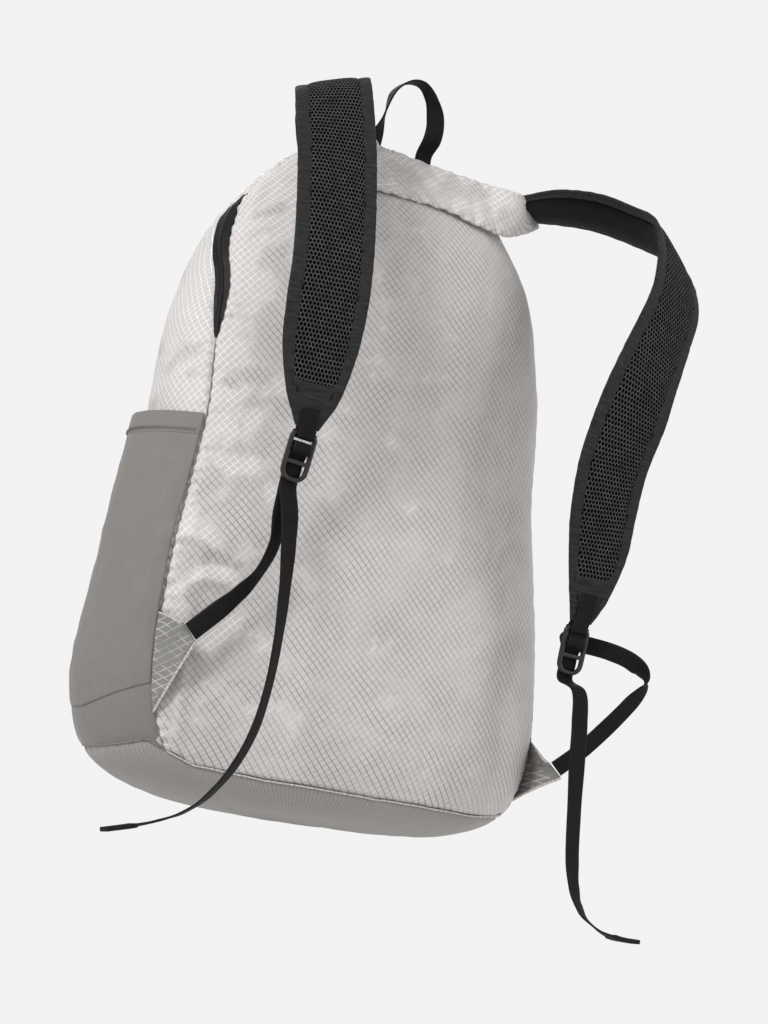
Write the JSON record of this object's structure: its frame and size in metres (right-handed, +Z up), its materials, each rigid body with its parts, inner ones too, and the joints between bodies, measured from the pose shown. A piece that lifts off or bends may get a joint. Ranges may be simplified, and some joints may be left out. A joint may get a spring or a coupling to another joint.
{
  "type": "packable backpack",
  "caption": "Light packable backpack, filled and hanging by its haul loop, with padded mesh shoulder straps, ladder-lock buckles, free webbing tails and stretch side pockets.",
  "frame": {"origin": "the point under the haul loop where the bag hangs", "axes": "+Z up along the hanging bag, -Y towards the wearer's back, +X towards the bag's right as seen from the shoulder-strap side"},
  "size_m": [0.3921, 0.219, 0.5568],
  "materials": {
    "ripstop": "light warm grey ripstop cloth with a diamond grid and a slight sheen",
    "base_cloth": "taupe ribbed cloth, matt",
    "pocket_cloth": "taupe stretch knit, matt",
    "spacer_mesh": "black spacer mesh with round holes, matt",
    "binding": "dark grey folded binding cloth, matt",
    "webbing": "black ribbed webbing, matt",
    "zipper": "black coated zipper tape, satin",
    "buckle": "black moulded acetal, satin"
  },
  "bodies": {
    "root": {"back_panel": "ripstop", "front_shell": "ripstop", "base_panel": "base_cloth", "main_zipper": "zipper", "zipper_slider": "buckle", "pocket_left": "pocket_cloth", "pocket_hem_left": "pocket_cloth", "pocket_right": "pocket_cloth", "pocket_hem_right": "pocket_cloth", "yoke": "ripstop", "haul_loop": "webbing", "strap_pad_left": "spacer_mesh", "strap_binding_left": "binding", "strap_pad_right": "spacer_mesh", "strap_binding_right": "binding", "buckle_tape_left": "webbing", "buckle_tape_right": "webbing", "webbing_left": "webbing", "buckle_left": "buckle", "webbing_right": "webbing", "buckle_right": "buckle", "corner_tab_left": "ripstop", "corner_tab_right": "ripstop"}
  },
  "joints": []
}
